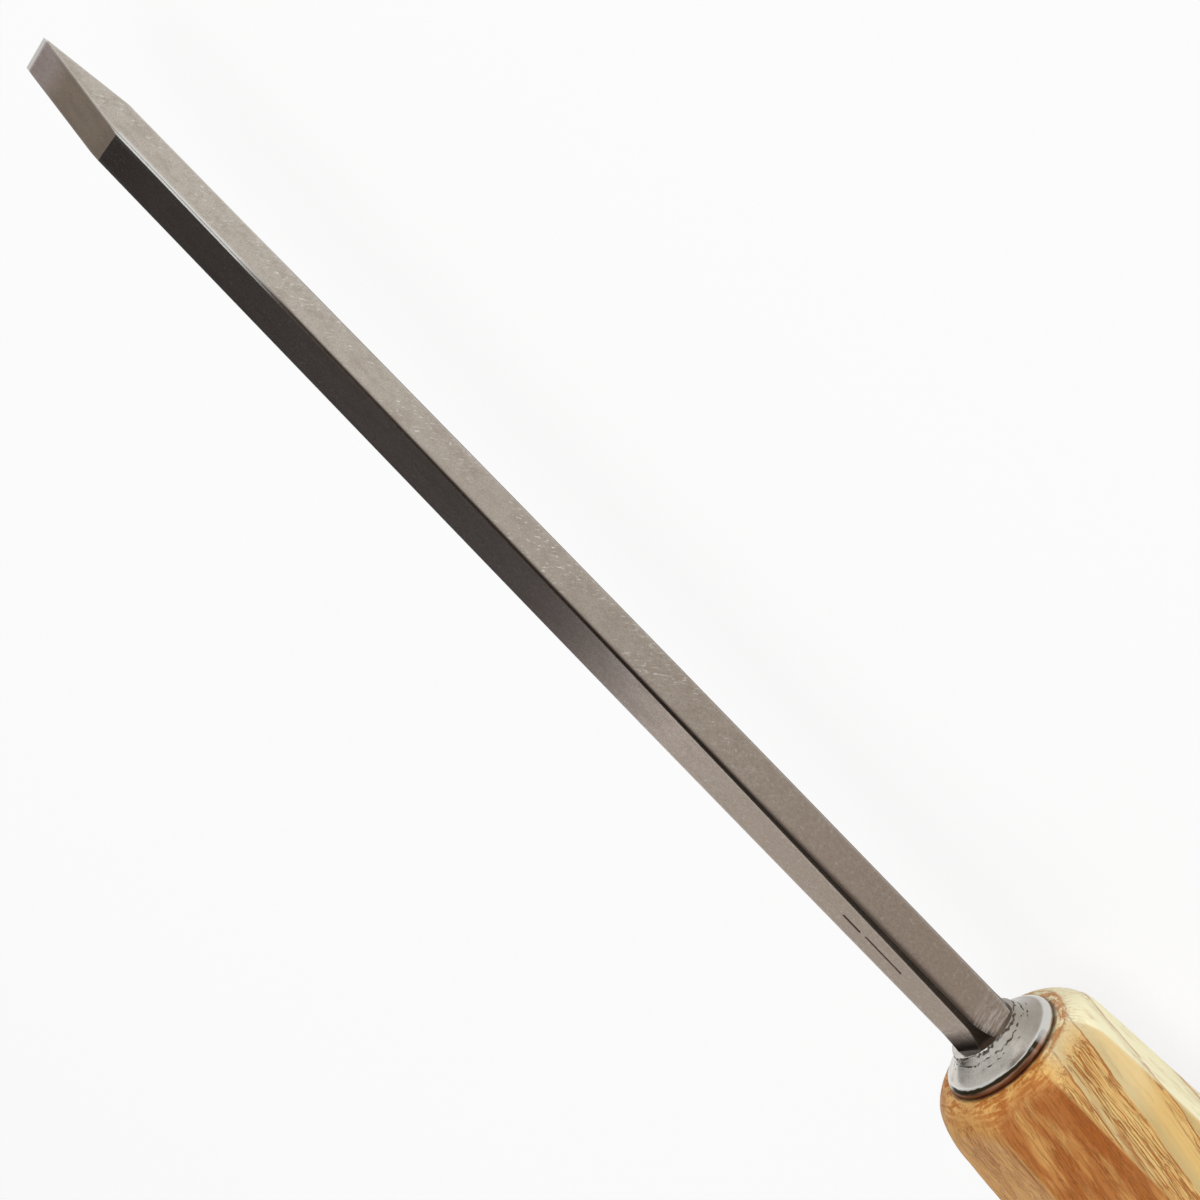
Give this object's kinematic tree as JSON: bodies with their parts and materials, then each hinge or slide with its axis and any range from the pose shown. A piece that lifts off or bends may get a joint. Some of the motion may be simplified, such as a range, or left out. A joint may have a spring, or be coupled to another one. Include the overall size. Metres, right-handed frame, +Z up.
{
  "type": "flat carving chisel",
  "caption": "Flat carving chisel: a long slim steel blade bevelled on both faces, a hollowed polished collar and an octagonal ash handle that swells toward the palm.",
  "frame": {"origin": "under the middle of the tool's length, on the level of the handle's lowest line", "axes": "+X along the tool's axis towards the cutting edge, +Z up, square to the broad faces of the blade"},
  "size_m": [0.2714, 0.0272, 0.0272],
  "materials": {
    "blade_steel": "finely ground steel with a dull sheen",
    "collar_steel": "turned and polished bright steel",
    "ferrule_steel": "plain turned steel",
    "ash": "ash with open pores under a thin satin varnish"
  },
  "bodies": {
    "root": {"blade": "blade_steel", "collar": "collar_steel", "inner_ferrule": "ferrule_steel", "handle": "ash"}
  },
  "joints": []
}
